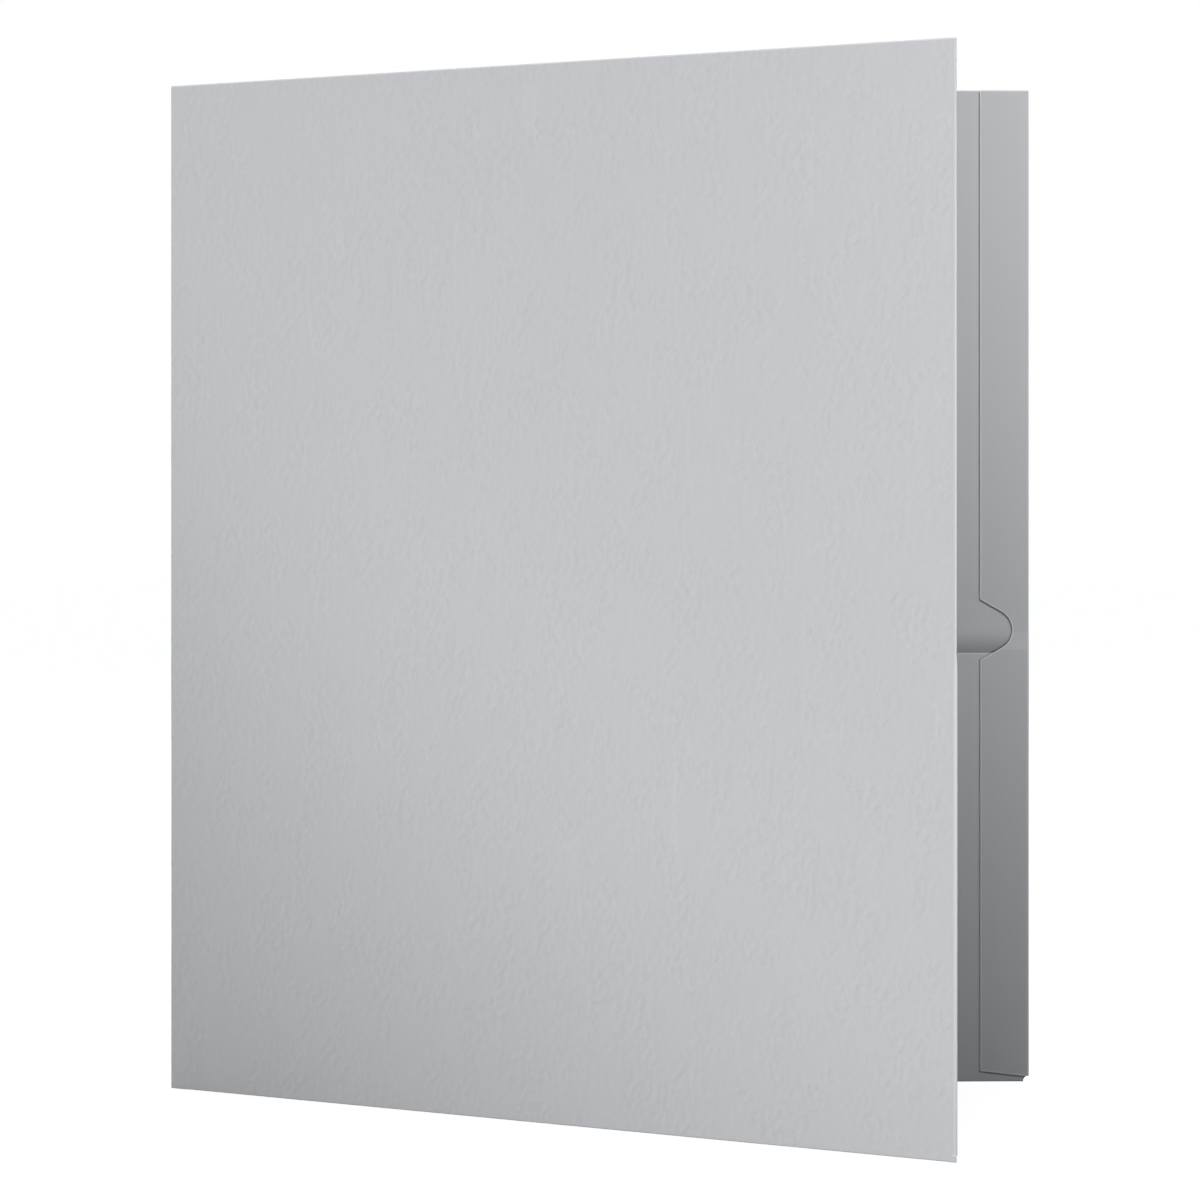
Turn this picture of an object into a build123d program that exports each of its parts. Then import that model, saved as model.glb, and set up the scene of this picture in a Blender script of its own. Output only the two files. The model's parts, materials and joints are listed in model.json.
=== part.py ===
from build123d import *
from math import cos, radians, sin, tan
import os

# Two pocket folder of card, standing part open on its bottom folds. Millimetres, +Z up.
# A leaf is a cover with a pocket folded up from its bottom edge and a narrow flap folded in
# from its free edge. The flap is glued to the cover above the pocket, and to the pocket below.
# A spine panel between two creases joins the leaves, which mirror each other across the fold.

# Leaves and spine
leaf_height = 289.0
leaf_width = 247.0  # from the crease's axis to the free edge
spine_width = 6.35  # from one crease's axis to the other's
opening = 31.0  # degrees between the leaves as the folder stands
card = 0.4  # thickness of the card

# Creases of the spine
crease_bulge = 0.3  # how far a crease stands proud of the card on its inner side
crease_clearance = 0.05  # between a crease and the panels beside it

# Pockets
pocket_height = 125.0
pocket_gap = 0.3  # between the cover and the pocket where the pocket lies flat
pocket_gape = 7.0  # how far the mouth springs open beyond that gap
gape_reach = 95.0  # from the flap's inner edge to where the mouth stands open furthest
pocket_inset_foot = 6.0  # from the crease's axis to the pocket's slanted side, at the bottom
pocket_inset_top = 16.0  # the same at the mouth
pocket_corner = 5.0  # radius of the pocket's bottom corner, under the flap

# Flaps along the free edges
flap_width = 14.3
flap_foot_inner = 3.2  # height of the flap's slanted foot at its inner edge
flap_corner = 0.7  # radius of the flap's inner corner at the top
flap_margin = 4.0  # flat strip of the pocket beside the flap, before its mouth springs open
fold_leg = 0.4  # straight part of the edge fold on each side of its bend
corner_relief = 1.65  # height of the free bottom corner below the flap, and radius of its round cut
relief_clearance = 0.05  # between that cut and the pocket's side

# Thumb notch in the flap, across the top of the pocket
notch_height = 17.7
notch_rise = 6.8  # of the notch's centre above the pocket's mouth
notch_flank = 29.7  # degrees between a flank and the notch's centre line
notch_tip_radius = 6.0

# Glue under the flaps
glue_film = 0.1
glue_margin = 1.5  # from the glue to the edges of what it holds
step_clearance = 1.0  # from the mouth of the pocket to where the flap starts to step down
step_length = 5.0  # height over which the flap steps down from the pocket to the cover

# Levels through a leaf, inwards from the outer face of its cover
pocket_level = card + pocket_gap
flap_level_low = pocket_level + card + glue_film  # over the pocket
flap_level_high = card + glue_film  # over the bare cover

# Folds and edges worked out from the sizes above
crease_radius = (card + crease_bulge) / 2
bottom_radius = card + pocket_gap / 2
edge_radius_low = (flap_level_low + card) / 2
edge_radius_high = (flap_level_high + card) / 2
fold_depth = edge_radius_low + fold_leg
panel_end = leaf_width - fold_depth
pocket_end = leaf_width - corner_relief - relief_clearance
flap_start = leaf_width - flap_width
notch_centre = pocket_height + notch_rise
notch_top = notch_centre + notch_height / 2
notch_bottom = notch_centre - notch_height / 2
step_start = pocket_height + step_clearance
step_end = step_start + step_length

# The spine's turn, and the two crease axes that centre the folder's footprint on the origin
half_turn = radians(opening / 2)
full_turn = radians(opening)
footprint_x = leaf_width + spine_width * sin(half_turn) + crease_radius
edge_reach = (
    (leaf_width - edge_radius_high) * sin(full_turn)
    - (edge_radius_high - crease_radius) * cos(full_turn)
    + edge_radius_high
)
footprint_y = crease_radius + spine_width * cos(half_turn) + edge_reach
rear_x = footprint_x / 2 - leaf_width
rear_y = footprint_y / 2 - crease_radius
front_x = rear_x - spine_width * sin(half_turn)
front_y = rear_y - spine_width * cos(half_turn)
face_y = rear_y + crease_radius  # outer face of the back cover


# Outer face of the back cover: x along the leaf from its crease, y up, normal inwards
back_face = Plane(origin=(rear_x, face_y, 0), x_dir=(1, 0, 0), z_dir=(0, -1, 0))

# The plane across which the two leaves mirror each other
fold_plane = Plane(
    origin=((rear_x + front_x) / 2, (rear_y + front_y) / 2, 0),
    x_dir=(cos(half_turn), -sin(half_turn), 0),
    z_dir=(sin(half_turn), cos(half_turn), 0),
)


def level_plane(height):
    """Plan of the back leaf at a height: x along the leaf, y inwards, normal down."""
    return Plane(origin=(rear_x, face_y, height), x_dir=(1, 0, 0), z_dir=(0, 0, -1))


def end_plane(distance):
    """End view of the back leaf at a distance from its crease: x inwards, y up, normal to the spine."""
    return Plane(origin=(rear_x + distance, face_y, 0), x_dir=(0, -1, 0), z_dir=(-1, 0, 0))


def edge_fold_section(level, radius):
    """U-shaped section of the edge fold, from the cover round to a flap whose underside is at a level."""
    bend = leaf_width - radius
    with BuildLine() as outline:
        Line((panel_end, 0), (bend, 0))
        JernArc(start=(bend, 0), tangent=(1, 0), radius=radius, arc_size=180)
        Line((bend, level + card), (panel_end, level + card))
        Line((panel_end, level + card), (panel_end, level))
        Line((panel_end, level), (bend, level))
        JernArc(start=(bend, level), tangent=(1, 0), radius=radius - card, arc_size=-180)
        Line((bend, card), (panel_end, card))
        Line((panel_end, card), (panel_end, 0))
    make_face(outline.edges())


def pocket_section(gape):
    """Section of the pocket's card: sprung off the cover by the gape, then flat under the flap."""
    foot = pocket_inset_foot
    peak = flap_start - gape_reach
    arch_end = flap_start - flap_margin
    rise_step = (peak - foot) / 3
    fall_step = (arch_end - peak) / 2
    low = pocket_level
    high = pocket_level + card
    with BuildLine() as outline:
        for level in (low, high):
            top = level + gape
            Bezier((foot, level), (foot + rise_step, level + gape / 3), (peak - rise_step, top), (peak, top))
            Bezier((peak, top), (peak + fall_step, top), (arch_end - fall_step, level), (arch_end, level))
            Line((arch_end, level), (pocket_end, level))
        Line((foot, low), (foot, high))
        Line((pocket_end, low), (pocket_end, high))
    make_face(outline.edges())


# Cover, with a hollow edge that seats its crease. It reaches the floor beside the bottom fold:
# at the spine, and at the square free corner below the flap.
with BuildPart() as cover:
    with BuildSketch(back_face):
        with Locations((0, bottom_radius)):
            Rectangle(panel_end, leaf_height - bottom_radius, align=(Align.MIN, Align.MIN))
        Rectangle(pocket_inset_foot, bottom_radius, align=(Align.MIN, Align.MIN))
        with Locations((pocket_end, 0)):
            Rectangle(leaf_width - pocket_end, corner_relief, align=(Align.MIN, Align.MIN))
    extrude(amount=card)
    with BuildSketch(level_plane(leaf_height)):
        with Locations((0, crease_radius)):
            Circle(crease_radius + crease_clearance)
    extrude(amount=leaf_height, mode=Mode.SUBTRACT)

# The back cover's free corner is cut away in a round
with BuildPart() as back_cover:
    add(cover.part)
    with BuildSketch(back_face):
        with Locations((leaf_width, 0)):
            Circle(corner_relief)
    extrude(amount=card, mode=Mode.SUBTRACT)

# Bottom fold, from the cover round to the pocket: half a tube, on which the folder stands
with BuildPart() as back_bottom_fold:
    with BuildSketch(end_plane(pocket_end)):
        with Locations((bottom_radius, bottom_radius)):
            Circle(bottom_radius)
            Circle(pocket_gap / 2, mode=Mode.SUBTRACT)
            Rectangle(
                2 * bottom_radius, bottom_radius, align=(Align.CENTER, Align.MIN), mode=Mode.SUBTRACT
            )
    extrude(amount=pocket_end - pocket_inset_foot)

# Pocket: flat along its bottom fold and under the flap, and springing open towards its mouth
with BuildPart() as back_pocket:
    with BuildSketch(level_plane(bottom_radius)):
        pocket_section(0)
    with BuildSketch(level_plane(pocket_height)):
        pocket_section(pocket_gape)
    loft(ruled=True)
    with BuildSketch(back_face):
        with BuildLine():
            Polyline(
                (pocket_inset_foot, bottom_radius),
                (pocket_end, bottom_radius),
                (pocket_end, pocket_height),
                (pocket_inset_top, pocket_height),
                close=True,
            )
        pocket_outline = make_face()
        fillet(pocket_outline.vertices().sort_by(Axis.X)[-2:].sort_by(Axis.Y)[0], pocket_corner)
    extrude(amount=pocket_level + 2 * card + pocket_gape, mode=Mode.INTERSECT)

# Edge fold along the free edge: wide over the pocket, tight over the bare cover, tapering between
with BuildPart() as back_edge_fold:
    with BuildSketch(level_plane(step_start)):
        edge_fold_section(flap_level_low, edge_radius_low)
    extrude(amount=step_start - corner_relief)
    with BuildSketch(level_plane(leaf_height)):
        edge_fold_section(flap_level_high, edge_radius_high)
    extrude(amount=leaf_height - step_end)
    with BuildSketch(level_plane(step_start)):
        edge_fold_section(flap_level_low, edge_radius_low)
    with BuildSketch(level_plane(step_end)):
        edge_fold_section(flap_level_high, edge_radius_high)
    loft(ruled=True)

# Flap: steps down from the pocket to the cover beside its thumb notch, with a slanted foot
with BuildPart() as back_flap:
    with BuildSketch(end_plane(panel_end)):
        with BuildLine():
            Polyline(
                (flap_level_low, corner_relief),
                (flap_level_low, step_start),
                (flap_level_high, step_end),
                (flap_level_high, leaf_height),
                (flap_level_high + card, leaf_height),
                (flap_level_high + card, step_end),
                (flap_level_low + card, step_start),
                (flap_level_low + card, corner_relief),
                close=True,
            )
        make_face()
    extrude(amount=panel_end - flap_start)
    with BuildSketch(back_face):
        with BuildLine():
            Polyline(
                (panel_end, corner_relief),
                (panel_end, leaf_height),
                (flap_start, leaf_height),
                (flap_start, flap_foot_inner),
                close=True,
            )
        flap_outline = make_face()
        fillet(flap_outline.vertices().sort_by(Axis.X)[:2].sort_by(Axis.Y)[-1], flap_corner)
    extrude(amount=flap_level_low + 2 * card, mode=Mode.INTERSECT)
    with BuildSketch(back_face):
        with BuildLine():
            Polyline(
                (flap_start, notch_bottom),
                (flap_start + notch_height / 2 / tan(radians(notch_flank)), notch_centre),
                (flap_start, notch_top),
                close=True,
            )
        notch_outline = make_face()
        fillet(notch_outline.vertices().sort_by(Axis.X)[-1], notch_tip_radius)
    extrude(amount=flap_level_low + 2 * card, mode=Mode.SUBTRACT)

# Glue film that holds the flap to the pocket
with BuildPart() as back_pocket_glue:
    with BuildSketch(back_face.offset(pocket_level + card)):
        with Locations((flap_start + glue_margin, flap_foot_inner + glue_margin)):
            Rectangle(
                pocket_end - flap_start - 2 * glue_margin,
                notch_bottom - flap_foot_inner - 2 * glue_margin,
                align=(Align.MIN, Align.MIN),
            )
    extrude(amount=glue_film)

# Glue film that holds the flap to the cover
with BuildPart() as back_cover_glue:
    with BuildSketch(back_face.offset(card)):
        with Locations((flap_start + glue_margin, notch_top + glue_margin)):
            Rectangle(
                panel_end - flap_start - 2 * glue_margin,
                leaf_height - notch_top - 2 * glue_margin,
                align=(Align.MIN, Align.MIN),
            )
    extrude(amount=glue_film)

# Spine panel, with a hollow along each side that seats a crease
with BuildPart() as spine_panel:
    spine_plan = Plane(
        origin=(rear_x, rear_y, leaf_height),
        x_dir=(-sin(half_turn), -cos(half_turn), 0),
        z_dir=(0, 0, -1),
    )
    with BuildSketch(spine_plan):
        with Locations((0, crease_radius - card)):
            Rectangle(spine_width, card, align=(Align.MIN, Align.MIN))
        with Locations((0, 0), (spine_width, 0)):
            Circle(crease_radius + crease_clearance, mode=Mode.SUBTRACT)
    extrude(amount=leaf_height)

# Creases: round beads of folded card on the two axes on which the covers turn
with BuildPart() as rear_crease:
    with BuildSketch(Plane.XY):
        with Locations((rear_x, rear_y)):
            Circle(crease_radius)
    extrude(amount=leaf_height)

with BuildPart() as front_crease:
    mirror(rear_crease.part, about=fold_plane)

# The front leaf is the back leaf mirrored across the fold, with its free corner left square
leaf = {
    "cover": cover,
    "bottom_fold": back_bottom_fold,
    "pocket": back_pocket,
    "edge_fold": back_edge_fold,
    "flap": back_flap,
    "pocket_glue": back_pocket_glue,
    "cover_glue": back_cover_glue,
}
pieces = {
    "spine_panel": spine_panel.part,
    "rear_crease": rear_crease.part,
    "front_crease": front_crease.part,
}
for name, piece in leaf.items():
    with BuildPart() as front_piece:
        mirror(piece.part, about=fold_plane)
    pieces["back_" + name] = piece.part
    pieces["front_" + name] = front_piece.part
pieces["back_cover"] = back_cover.part

os.makedirs("parts", exist_ok=True)
for name, part in pieces.items():
    part.label = name
    export_step(part, "parts/" + name + ".step")

print("rear crease axis  x %.4f  y %.4f" % (rear_x, rear_y))
print("front crease axis x %.4f  y %.4f" % (front_x, front_y))
print("back cover's outer face y %.4f, middle x %.4f" % (face_y, rear_x + panel_end / 2))
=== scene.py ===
import json
from math import atan2, cos, radians, sin, tan
from typing import NamedTuple

import bmesh
import bpy
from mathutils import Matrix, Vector

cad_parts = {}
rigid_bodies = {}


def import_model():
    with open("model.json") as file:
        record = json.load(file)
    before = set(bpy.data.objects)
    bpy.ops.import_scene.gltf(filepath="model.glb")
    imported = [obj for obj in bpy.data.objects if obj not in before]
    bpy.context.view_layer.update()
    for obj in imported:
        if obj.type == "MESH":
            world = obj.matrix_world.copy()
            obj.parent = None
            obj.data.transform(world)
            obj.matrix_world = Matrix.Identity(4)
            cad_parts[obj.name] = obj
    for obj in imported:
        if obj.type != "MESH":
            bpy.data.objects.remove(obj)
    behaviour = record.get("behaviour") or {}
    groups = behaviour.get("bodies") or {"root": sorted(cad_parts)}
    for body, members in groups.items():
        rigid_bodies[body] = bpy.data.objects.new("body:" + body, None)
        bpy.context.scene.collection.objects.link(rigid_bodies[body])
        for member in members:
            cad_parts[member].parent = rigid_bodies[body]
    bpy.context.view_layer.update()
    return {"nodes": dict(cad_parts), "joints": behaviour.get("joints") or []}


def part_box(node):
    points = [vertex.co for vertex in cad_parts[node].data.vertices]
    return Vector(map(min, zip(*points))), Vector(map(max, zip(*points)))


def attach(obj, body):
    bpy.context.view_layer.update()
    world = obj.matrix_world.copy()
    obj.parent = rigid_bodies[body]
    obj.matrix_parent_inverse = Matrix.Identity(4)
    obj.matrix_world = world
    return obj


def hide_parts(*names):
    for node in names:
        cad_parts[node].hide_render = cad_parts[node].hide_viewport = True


# A two pocket folder of grained card, standing part open on a pale floor.
# Metres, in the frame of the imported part: +Z up the spine, +X along the back leaf.
for leftover in list(bpy.data.objects):
    bpy.data.objects.remove(leftover)
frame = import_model()


class Waves(NamedTuple):
    """Uneven waves in a finish: how many to a unit of length along and up, their layer and their detail."""

    along: float
    up: float
    layer: float
    detail: float = 2.0
    roughness: float = 0.5


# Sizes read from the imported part
creases = {joint["name"]: Vector(joint["pos_m"]) for joint in frame["joints"]}
rear_crease = creases["rear_fold"]
front_crease = creases["front_fold"]
half_turn = atan2(rear_crease.x - front_crease.x, rear_crease.y - front_crease.y)
full_turn = 2 * half_turn  # between the leaves
crease_radius = (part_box("rear_crease")[1].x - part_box("rear_crease")[0].x) / 2
leaf_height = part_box("back_cover")[1].z
leaf_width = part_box("back_edge_fold")[1].x - rear_crease.x
flap_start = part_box("back_flap")[0].x - rear_crease.x
flap_foot_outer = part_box("back_flap")[0].z
pocket_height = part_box("back_pocket")[1].z
pocket_inset_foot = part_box("back_pocket")[0].x - rear_crease.x
pocket_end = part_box("back_pocket")[1].x - rear_crease.x
pocket_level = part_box("back_cover")[1].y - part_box("back_pocket")[1].y  # in from the cover's outer face
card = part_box("back_cover")[1].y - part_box("back_cover")[0].y  # its thickness
pocket_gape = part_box("back_pocket")[1].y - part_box("back_pocket")[0].y - card  # of its mouth
bottom_fold_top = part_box("back_bottom_fold")[1].z

# Outline of the pocket's slanted side, the flap's foot and the thumb notch, as they are cut
pocket_inset_top = 0.016
pocket_corner = 0.005  # radius of the mouth's corner beside the spine
gape_reach = 0.095  # from the flap's inner edge to where the mouth stands open furthest
flap_margin = 0.004  # flat strip of the pocket beside the flap
flap_foot_inner = 0.0032
notch_height = 0.0177
notch_rise = 0.0068  # from the pocket's mouth up to the middle of the notch
notch_centre = pocket_height + notch_rise
notch_flank = radians(29.7)
notch_tip_radius = 0.006

# Steps of the pocket sheet's mesh
side_steps = 16  # up the straight of its slanted side
corner_steps = 8
gape_steps = 24  # on either side of where the mouth stands open furthest
sharp_angle = radians(30)

# Card
card_colour = (0.562, 0.571, 0.582)
card_roughness = 0.62
card_gloss = 0.15
edge_highlight_reach = 0.00045  # how far the painted highlight along a cut edge reaches onto the face
edge_highlight_lift = 0.22  # how much paler that painted highlight makes the card
bend_highlight_lift = 0.5  # painted highlight: how much paler a fold is painted where it is bent most
cloud_waves = Waves(28, 28, layer=7.7, detail=3.0)  # to a metre
cloud_shade = 0.03
cloud_roughness = 0.10
fibre_waves = Waves(1.3, 0.9, layer=4.5, detail=4.0, roughness=0.65)  # to a millimetre
fibre_depth = 0.000006

# Shade painted on the card's inner faces
inner_facing = (0.2, 0.6)  # how far a face turns in where such a shade starts, and where it is full
mouth_shade_start = -0.0006  # from the pocket's mouth
mouth_shade_end = 0.0072
mouth_shade_inset = pocket_inset_top * 2  # from the crease to where the shade is full
mouth_shade_depth = 0.45
notch_line_reach = 0.0007  # how far the thin painted shade under the notch's rim reaches
notch_line_depth = 0.35
foot_line_reach = 0.0006  # how far the thin painted shade under the flap's foot reaches
foot_line_depth = 0.40

# Grain of the card, with its waves to a millimetre
millimetres = 1000  # in a metre
noise_middle = 0.5  # waves run from 0 to 1
grain_depth = 0.000047
grain_shade = 0.028  # how much its tone varies, with the painted light and shade of its relief
grain_lean = 0.09  # towards the leaf's free edge, for each unit up
grain_turn = 0.2  # how far a face turns in or out before it has all of the grain, or none
inner_emboss = 0.12  # depth of the grain on the pockets and flaps, where it is nearly ironed out
grain_out = -1  # grained on the side that faces out
grain_both = 0
grain_in = 1
bump_waves = Waves(0.54, 0.42, layer=4.9, detail=0.8)
bump_rise = (0.53, 0.64)  # how high the waves are where a bump starts, and where it is full
hollow_fall = (0.47, 0.36)
flank_step = 0.25  # millimetres from a bump's middle to its flank
patch_waves = Waves(0.12, 0.08, layer=1.7)
patch_fade = (0.36, 0.62)
patch_swing = 0.9
patch_least = 0.3  # what is left of the bumps between the patches
streak_waves = Waves(0.22, 0.10, layer=9.3, detail=0.0)
streak_height = 1.6
tooth_waves = Waves(1.5, 1.1, layer=2.2)
tooth_height = 0.5
hair_waves = Waves(0.11, 0.018, layer=5.2, detail=0.0)
hair_width = 0.018  # how far from their middle the waves are at a crease's rim
hair_place_waves = Waves(0.06, 0.05, layer=3.1, detail=1.0)
hair_place_fade = (0.50, 0.60)
height_tone = 0.4  # share of the grain's height in its tone: bumps painted paler, hollows painted darker
# how strongly the bumps' flanks are painted lit on one side and shaded on the other
relief_shading_tone = 1.3
hair_tone = 0.9

# Glue
glue_colour = (0.80, 0.77, 0.68)
glue_least = 0.9  # its tone where it is darkest
glue_roughness = 0.35
glue_swing = 0.2  # how much its tone and its roughness vary
glue_streaks = 400  # to a metre
glue_detail = 3.0

# Floor and light
floor_reach = 6.0
floor_colour = (0.30, 0.30, 0.30, 1)
floor_glow = 0.90
white = (1, 1, 1, 1)
room_colour = (0.98, 1, 1.05, 1)
room_light = 0.32
lamp_distance = 1.5

# Camera, measured from the rear crease, and its picture
picture_width = 1200  # pixels
focal_pixels = 3835
horizon_pixels = 482.1  # from the top of the picture
camera_from_crease = Vector((0.0934, -1.1155, 0.1748))
camera_yaw = radians(1.462)
sensor_width = 36  # millimetres


class Tone:
    """A socket of a finish. Sums on it add Math nodes, so that a finish reads as a formula."""

    def __init__(self, finish, socket):
        self.finish = finish
        self.socket = socket

    def __add__(self, other):
        return self.finish.maths("ADD", self, other)

    def __sub__(self, other):
        return self.finish.maths("SUBTRACT", self, other)

    def __rsub__(self, other):
        return self.finish.maths("SUBTRACT", other, self)

    def __mul__(self, other):
        return self.finish.maths("MULTIPLY", self, other)

    def __abs__(self):
        return self.finish.maths("ABSOLUTE", self)

    __radd__ = __add__
    __rmul__ = __mul__


class Finish:
    """The nodes of a material or of the world. add() makes any node, and the rest are made with it."""

    def __init__(self, owner):
        owner.use_nodes = True
        self.tree = owner.node_tree
        self.tree.nodes.clear()

    def add(self, kind, settings=None, inputs=None, output=0):
        node = self.tree.nodes.new("ShaderNode" + kind)
        for name, value in (settings or {}).items():
            setattr(node, name, value)
        for name, value in (inputs or {}).items():
            if isinstance(value, Tone):
                self.tree.links.new(value.socket, node.inputs[name])
            else:
                node.inputs[name].default_value = value
        return Tone(self, node.outputs[output]) if node.outputs else None

    def maths(self, operation, *values):
        return self.add("Math", {"operation": operation}, dict(enumerate(values)))

    def least(self, *tones):
        lowest = tones[0]
        for tone in tones[1:]:
            lowest = self.maths("MINIMUM", lowest, tone)
        return lowest

    def ramp(self, tone, start, end):
        """0 up to the start, 1 from the end on, and smooth between them."""
        return self.add(
            "MapRange",
            {"interpolation_type": "SMOOTHSTEP"},
            {"Value": tone, "From Min": start, "From Max": end},
        )

    def scaled(self, vector, factor):
        return self.add("VectorMath", {"operation": "SCALE"}, {0: vector, "Scale": factor})

    def reach(self, vector, direction):
        """How far a vector goes in a direction."""
        return self.add("VectorMath", {"operation": "DOT_PRODUCT"}, {0: vector, 1: direction}, "Value")

    def noise(self, place, detail, roughness=0.5):
        inputs = {"Vector": place, "Scale": 1, "Detail": detail, "Roughness": roughness}
        return self.add("TexNoise", None, inputs)

    def waves(self, along, up, waves):
        place = self.add("CombineXYZ", None, {"X": along * waves.along, "Y": up * waves.up, "Z": waves.layer})
        return self.noise(place, waves.detail, waves.roughness)

    def surface(self, shader, output="OutputMaterial"):
        self.add(output, None, {"Surface": shader})


class Sheet:
    """One leaf, or the spine: its crease, and its directions along and in from its outer face."""

    def __init__(self, crease, along, inward):
        self.crease = crease
        self.along = Vector((*along, 0))
        self.inward = Vector((*inward, 0))

    def point(self, along, up, inward):
        """A point of the sheet, so far in from its outer face."""
        foot = Vector((self.crease.x, self.crease.y, 0)) - self.inward * crease_radius
        return foot + self.along * along + self.inward * inward + Vector((0, 0, up))


back_leaf = Sheet(rear_crease, (1, 0), (0, -1))
front_leaf = Sheet(front_crease, (cos(full_turn), -sin(full_turn)), (sin(full_turn), cos(full_turn)))
spine = Sheet(front_crease, (sin(half_turn), cos(half_turn)), (cos(half_turn), -sin(half_turn)))


class CardPlace:
    """Where a point of a sheet lies, in metres along and up, and its facing: 1 if it faces in, -1 if out."""

    def __init__(self, finish, sheet):
        point = finish.add("TexCoord", None, None, "Object")
        normal = finish.add("TexCoord", None, None, "Normal")
        offset = finish.add("VectorMath", {"operation": "SUBTRACT"}, {0: point, 1: sheet.crease})
        self.along = finish.reach(offset, sheet.along)
        self.up = finish.add("SeparateXYZ", None, {0: point}, "Z")
        self.facing = finish.reach(normal, sheet.inward)


def leather_bumps(finish, along, up):
    """Small soft bumps and hollows on a smooth ground: 1 at a bump's top, -1 in a hollow."""
    waves = finish.waves(along, up, bump_waves)
    return finish.ramp(waves, *bump_rise) - finish.ramp(waves, *hollow_fall)


def hair_creases(finish, along, up):
    """Long thin creases that run up the card, a few in places: 1 on a crease."""
    from_crease = abs(finish.waves(along, up, hair_waves) - noise_middle)
    places = finish.ramp(finish.waves(along, up, hair_place_waves), *hair_place_fade)
    return (1 - finish.ramp(from_crease, 0, hair_width)) * places


def leather_grain(finish, at):
    """Height and tone of the embossed grain: leaning bumps in patches, streaks, a tooth and hair creases. Its
    tone holds painted light and shade: bumps paler, hollows darker, and their flanks lit on one side.
    """
    up = at.up * millimetres
    along = at.along * millimetres - up * grain_lean
    patches = finish.ramp(finish.waves(along, up, patch_waves), *patch_fade) * patch_swing + patch_least
    bumps = leather_bumps(finish, along, up) * patches
    # Painted light and shade on the bumps' flanks: paler where they face the spine, darker where they face
    # the free edge
    edgeward = leather_bumps(finish, along + flank_step, up)
    spineward = leather_bumps(finish, along - flank_step, up)
    relief_shading = (edgeward - spineward) * patches
    streaks = finish.waves(along, up, streak_waves) - noise_middle
    tooth = finish.waves(along, up, tooth_waves) - noise_middle
    height = bumps + streaks * streak_height + tooth * tooth_height
    tone = height * height_tone + relief_shading * relief_shading_tone + hair_creases(finish, along, up) * hair_tone
    return height, tone


def fibre(finish, at):
    """Height of the smooth inner side of the card: felted fibres, seen only close up."""
    return finish.waves(at.along * millimetres, at.up * millimetres, fibre_waves)


# Distance to the nearest cut edge, for each kind of piece
def cover_edge(finish, at):
    return leaf_height - at.up


def pocket_edge(finish, at):
    slope = (pocket_inset_top - pocket_inset_foot) / (pocket_height - bottom_fold_top)
    side = at.along - pocket_inset_foot - (at.up - bottom_fold_top) * slope
    return finish.least(pocket_height - at.up, side)


def notch_edge(finish, at):
    """Distance to the rounded notch's outline: positive on the flap, negative inside the notch."""
    apex = flap_start + notch_height / 2 / tan(notch_flank)
    centre = apex - notch_tip_radius / sin(notch_flank)
    height = abs(at.up - notch_centre)
    flank = (at.along - apex) * sin(notch_flank) + height * cos(notch_flank)
    from_centre = at.along - centre
    tip = finish.maths("SQRT", from_centre * from_centre + height * height) - notch_tip_radius
    past_flank = finish.maths("GREATER_THAN", from_centre * cos(notch_flank), height * sin(notch_flank))
    return flank + past_flank * (tip - flank)


def foot_edge(at):
    """Height above the flap's slanted foot."""
    slope = (flap_foot_inner - flap_foot_outer) / (leaf_width - flap_start)
    return at.up - flap_foot_inner + (at.along - flap_start) * slope


def flap_edge(finish, at):
    """Distance to the flap's inner edge, its top, its slanted foot or its notch."""
    inner = at.along - flap_start
    return finish.least(inner, leaf_height - at.up, foot_edge(at), abs(notch_edge(finish, at)))


def fold_edge(finish, at):
    return finish.least(leaf_height - at.up, at.up - flap_foot_outer)


def spine_edge(finish, at):
    return finish.least(leaf_height - at.up, at.up)


def mouth_shade(finish, at):
    """Painted soft shade on the inner face of a cover, just above the mouth of its pocket."""
    above = finish.ramp(at.up, pocket_height + mouth_shade_start, pocket_height + mouth_shade_end)
    beside = finish.ramp(at.along, pocket_inset_foot, mouth_shade_inset)
    inner = finish.ramp(at.facing, *inner_facing)
    return (1 - above) * beside * inner * mouth_shade_depth


def notch_line(finish, at):
    """Painted thin shade under the lower rim of the thumb notch, on what the notch shows."""
    near = 1 - finish.ramp(abs(notch_edge(finish, at)), 0, notch_line_reach)
    below = 1 - finish.ramp(at.up, notch_centre - notch_height / 4, notch_centre)
    under = finish.ramp(at.along, flap_start - notch_line_reach, flap_start)
    inner = finish.ramp(at.facing, *inner_facing)
    return near * below * under * inner * notch_line_depth


def foot_line(finish, at):
    """Painted thin shade on the pocket, just under the slanted foot of the flap."""
    near = 1 - finish.ramp(abs(foot_edge(at)), foot_line_reach / 2, foot_line_reach)
    under = finish.ramp(at.along, flap_start - foot_line_reach, flap_start)
    return near * under * foot_line_depth


# Painted shade on a pocket: thin lines under the notch's rim and under the flap's foot
def pocket_shade(finish, at):
    return notch_line(finish, at) + foot_line(finish, at)


# Painted shade on a cover: a soft shade above its pocket's mouth and a thin line under the notch's rim
def cover_shade(finish, at):
    return mouth_shade(finish, at) + notch_line(finish, at)


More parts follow.
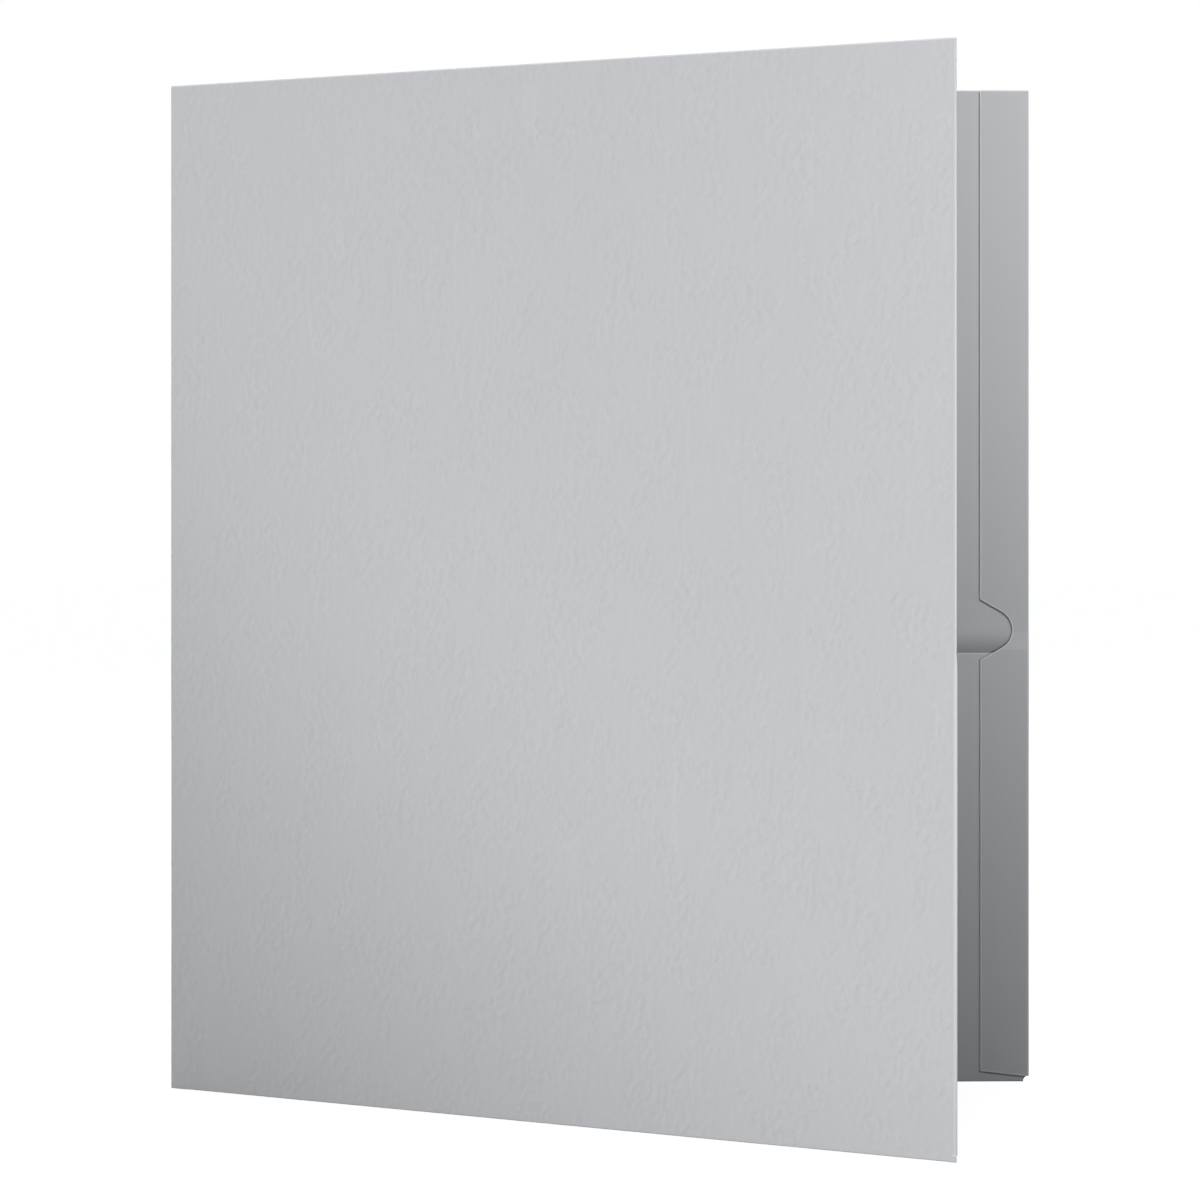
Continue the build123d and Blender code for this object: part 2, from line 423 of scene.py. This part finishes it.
def card_finish(name, sheet, cut_edge, grain_side, emboss=1.0, bend_lift=0.0, shade_of=None):
    """Card with an embossed grain on one side or both, with a painted highlight along its cut edges.

    emboss is how deep the grain is, bend_lift how much paler the card is painted where it faces neither in
    nor out, a painted highlight on its bends, and shade_of gives any painted shade on the face.
    """
    material = bpy.data.materials.new(name)
    finish = Finish(material)
    at = CardPlace(finish, sheet)
    grain, grain_tone = leather_grain(finish, at)
    if grain_side != grain_both:
        emboss = finish.ramp(at.facing * grain_side, -grain_turn, grain_turn) * emboss
    height = grain * emboss * (grain_depth / fibre_depth) + fibre(finish, at)
    clouds = finish.waves(at.along, at.up, cloud_waves) - noise_middle
    # Painted highlight along the cut edges
    edge_highlight = 1 - finish.ramp(cut_edge(finish, at), edge_highlight_reach / 2, edge_highlight_reach)
    # Painted highlight on the bends, where the card faces neither in nor out
    bend_highlight = (1 - abs(at.facing)) * bend_lift
    tone = 1 + clouds * cloud_shade + grain_tone * emboss * grain_shade + edge_highlight * edge_highlight_lift + bend_highlight
    # The face's painted shade, where it has any
    if shade_of:
        tone = tone * (1 - shade_of(finish, at))
    colour = finish.scaled(card_colour, tone)
    roughness = card_roughness + clouds * cloud_roughness
    bump = finish.add("Bump", None, {"Strength": 1, "Distance": fibre_depth, "Height": height})
    shader = finish.add(
        "BsdfPrincipled",
        None,
        {"Base Color": colour, "Roughness": roughness, "Specular IOR Level": card_gloss, "Normal": bump},
    )
    finish.surface(shader)
    return material


def glue_finish():
    """Dried glue: a cloudy cream film."""
    material = bpy.data.materials.new("dried_glue")
    finish = Finish(material)
    point = finish.add("TexCoord", None, None, "Object")
    streaks = finish.noise(finish.scaled(point, glue_streaks), glue_detail)
    colour = finish.scaled(glue_colour, glue_least + streaks * glue_swing)
    roughness = glue_roughness + streaks * glue_swing
    finish.surface(finish.add("BsdfPrincipled", None, {"Base Color": colour, "Roughness": roughness}))
    return material


def put_in_scene(name, data):
    piece = bpy.data.objects.new(name, data)
    bpy.context.scene.collection.objects.link(piece)
    return piece


def pocket_side():
    """Points up the pocket's slanted side and round the corner of its mouth, as (along, up)."""
    rise = pocket_height - bottom_fold_top
    lean = atan2(pocket_inset_top - pocket_inset_foot, rise)
    corner_turn = radians(90) - lean
    tangent = pocket_corner * tan(corner_turn / 2)
    centre_along = pocket_inset_top + tangent
    centre_up = pocket_height - pocket_corner
    straight = rise - tangent * cos(lean)
    points = []
    for step in range(side_steps):
        height = straight * step / side_steps
        points.append((pocket_inset_foot + height * tan(lean), bottom_fold_top + height))
    for step in range(corner_steps + 1):
        angle = radians(180) - lean - corner_turn * step / corner_steps
        points.append((centre_along + pocket_corner * cos(angle), centre_up + pocket_corner * sin(angle)))
    return points


def pocket_row(start):
    """Places across the pocket from its side to its free end, and how far its mouth stands off at each.

    The card rises steadily from its side, levels out where the mouth stands open furthest, and comes
    down again in an S to the flat strip beside the flap.
    """
    peak = flap_start - gape_reach
    flat = flap_start - flap_margin
    halfway = (peak + flat) / 2
    row = []
    for step in range(gape_steps):
        along = start + (peak - start) * step / gape_steps
        share = (along - pocket_inset_foot) / (peak - pocket_inset_foot)
        row.append((along, pocket_gape * (share + share**2 - share**3)))
    for step in range(gape_steps + 1):
        share = step / gape_steps
        along = peak * (1 - share) ** 3 + 3 * halfway * share * (1 - share) + flat * share**3
        row.append((along, pocket_gape * (1 - share) ** 2 * (1 + 2 * share)))
    return row + [(pocket_end, 0)]


def pocket_face(shape, sheet, level):
    """One face of the pocket's card, so far in from the cover's outer face. Gives the points of its rim."""
    rows = []
    for start, up in pocket_side():
        share = (up - bottom_fold_top) / (pocket_height - bottom_fold_top)
        places = [sheet.point(along, up, level + gape * share) for along, gape in pocket_row(start)]
        rows.append([shape.verts.new(place) for place in places])
    for lower, upper in zip(rows, rows[1:]):
        for place in range(len(lower) - 1):
            shape.faces.new((lower[place], lower[place + 1], upper[place + 1], upper[place]))
    free_end = [row[-1] for row in rows[1:]]
    mouth = rows[-1][-2::-1]
    side = [row[0] for row in rows[-2:0:-1]]
    return rows[0] + free_end + mouth + side


def pocket_sheet(name, sheet):
    """The pocket's card: flat along its bottom and under the flap, and sprung open at its mouth."""
    shape = bmesh.new()
    under = pocket_face(shape, sheet, pocket_level)
    over = pocket_face(shape, sheet, pocket_level + card)
    for place in range(len(under)):
        shape.faces.new((under[place - 1], under[place], over[place], over[place - 1]))
    bmesh.ops.recalc_face_normals(shape, faces=shape.faces)
    mesh = bpy.data.meshes.new(name)
    shape.to_mesh(mesh)
    shape.free()
    mesh.shade_smooth()
    mesh.set_sharp_from_angle(angle=sharp_angle)
    return put_in_scene(name, mesh)


def dress(node, finish):
    frame["nodes"][node].material_slots[0].material = finish


def dress_folder():
    """Gives every piece of the folder its finish, and each leaf its pocket sheet."""
    kinds = {
        "cover": dict(cut_edge=cover_edge, grain_side=grain_out, shade_of=cover_shade),
        "bottom_fold": dict(cut_edge=cover_edge, grain_side=grain_both, emboss=inner_emboss, bend_lift=bend_highlight_lift),
        "pocket": dict(cut_edge=pocket_edge, grain_side=grain_in, emboss=inner_emboss, shade_of=pocket_shade),
        "edge_fold": dict(cut_edge=fold_edge, grain_side=grain_both, emboss=inner_emboss, bend_lift=bend_highlight_lift),
        "flap": dict(cut_edge=flap_edge, grain_side=grain_in, emboss=inner_emboss),
    }
    glue = glue_finish()
    for side, sheet in (("back_", back_leaf), ("front_", front_leaf)):
        for kind, values in kinds.items():
            dress(side + kind, card_finish("card_" + side + kind, sheet, **values))
        pocket = pocket_sheet(side + "pocket_sheet", sheet)
        pocket.data.materials.append(bpy.data.materials["card_" + side + "pocket"])
        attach(pocket, side + "leaf")
        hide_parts(side + "pocket")
        for film in ("pocket_glue", "cover_glue"):
            dress(side + film, glue)
    dress("spine_panel", card_finish("card_spine", spine, spine_edge, grain_out))
    crease_card = card_finish("card_creases", spine, spine_edge, grain_both)
    for crease in ("rear_crease", "front_crease"):
        dress(crease, crease_card)


def seen_ray(finish):
    """1 for rays from the camera, or that the camera sees mirrored or through something."""
    kinds = ("Camera", "Glossy", "Transmission")
    camera, glossy, through = [finish.add("LightPath", None, None, "Is %s Ray" % kind) for kind in kinds]
    return finish.least(camera + glossy + through, 1)


def lay_floor():
    """A pale floor that shows white, keeps the folder's shadow and throws little light back up."""
    mesh = bpy.data.meshes.new("floor")
    corners = [(x * floor_reach, y * floor_reach, 0) for x, y in ((-1, -1), (1, -1), (1, 1), (-1, 1))]
    mesh.from_pydata(corners, [], [(0, 1, 2, 3)])
    floor = put_in_scene("floor", mesh)
    material = bpy.data.materials.new("pale_floor")
    finish = Finish(material)
    pale = finish.add("BsdfDiffuse", None, {"Color": floor_colour})
    glow = finish.add("Emission", None, {"Color": white, "Strength": floor_glow})
    lit = finish.add("AddShader", None, {0: pale, 1: glow})
    finish.surface(finish.add("MixShader", None, {0: seen_ray(finish), 1: pale, 2: lit}))
    mesh.materials.append(material)


def hang_lamp(lamp, azimuth, elevation, aim, watts):
    """Hangs a lamp round the folder's middle. Azimuth 0 is where the camera is, 90 the right.

    aim is how far to the right of the middle, seen from the lamp, and above it the lamp points.
    """
    turn = radians(azimuth)
    lift = radians(elevation)
    middle = Vector((0, 0, leaf_height / 2))
    towards = Vector((sin(turn) * cos(lift), -cos(turn) * cos(lift), sin(lift)))
    right, up = aim
    target = middle + Vector((cos(turn) * right, sin(turn) * right, up))
    holder = put_in_scene(lamp.name, lamp)
    holder.location = middle + towards * lamp_distance
    holder.rotation_euler = (target - holder.location).to_track_quat("-Z", "Y").to_euler()
    holder.visible_camera = False
    lamp.energy = watts


def softbox(name, width, **hanging):
    """A square lamp with an even, soft light."""
    lamp = bpy.data.lights.new(name, "AREA")
    lamp.shape = "SQUARE"
    lamp.size = width
    hang_lamp(lamp, **hanging)


def spotlight(name, cone, blend, radius, **hanging):
    """A round lamp whose light fades towards its cone's rim."""
    lamp = bpy.data.lights.new(name, "SPOT")
    lamp.spot_size = radians(cone)
    lamp.spot_blend = blend
    lamp.shadow_soft_size = radius
    hang_lamp(lamp, **hanging)


def light_studio():
    """A white room that lights the folder softly, and the lamps."""
    world = bpy.data.worlds.new("studio")
    finish = Finish(world)
    dim = finish.add("Background", None, {"Color": room_colour, "Strength": room_light})
    bright = finish.add("Background", None, {"Color": white, "Strength": 1})
    mixed = finish.add("MixShader", None, {0: seen_ray(finish), 1: dim, 2: bright})
    finish.surface(mixed, "OutputWorld")
    bpy.context.scene.world = world
    softbox("rear_softbox", width=1.4, azimuth=180, elevation=40, aim=(0, 0), watts=22)
    spotlight(
        "front_spot", cone=61.8, blend=0.20, radius=0.172,
        azimuth=-22.9, elevation=0, aim=(0.397, 0.440), watts=65.5,
    )
    spotlight(
        "side_spot", cone=32.0, blend=0.50, radius=0.119,
        azimuth=48, elevation=38.7, aim=(0.479, 0.130), watts=66,
    )
    spotlight(
        "fill_spot", cone=32.0, blend=0.50, radius=0.119,
        azimuth=25, elevation=38.7, aim=(0.485, 0.165), watts=54,
    )
    spotlight(
        "edge_spot", cone=29.0, blend=0.15, radius=0.03,
        azimuth=60, elevation=5, aim=(-0.35, 0), watts=27,
    )


def set_camera():
    """A level camera, whose picture is shifted so that the horizon lies where the photograph has it."""
    camera = bpy.data.cameras.new("camera")
    camera.sensor_width = sensor_width
    camera.lens = focal_pixels / picture_width * sensor_width
    camera.shift_y = horizon_pixels / picture_width - 0.5
    holder = put_in_scene("camera", camera)
    holder.location = Vector((rear_crease.x, rear_crease.y, 0)) + camera_from_crease
    holder.rotation_euler = (radians(90), 0, -camera_yaw)
    bpy.context.scene.camera = holder


dress_folder()
lay_floor()
light_studio()
set_camera()
bpy.context.scene.view_settings.view_transform = "Standard"
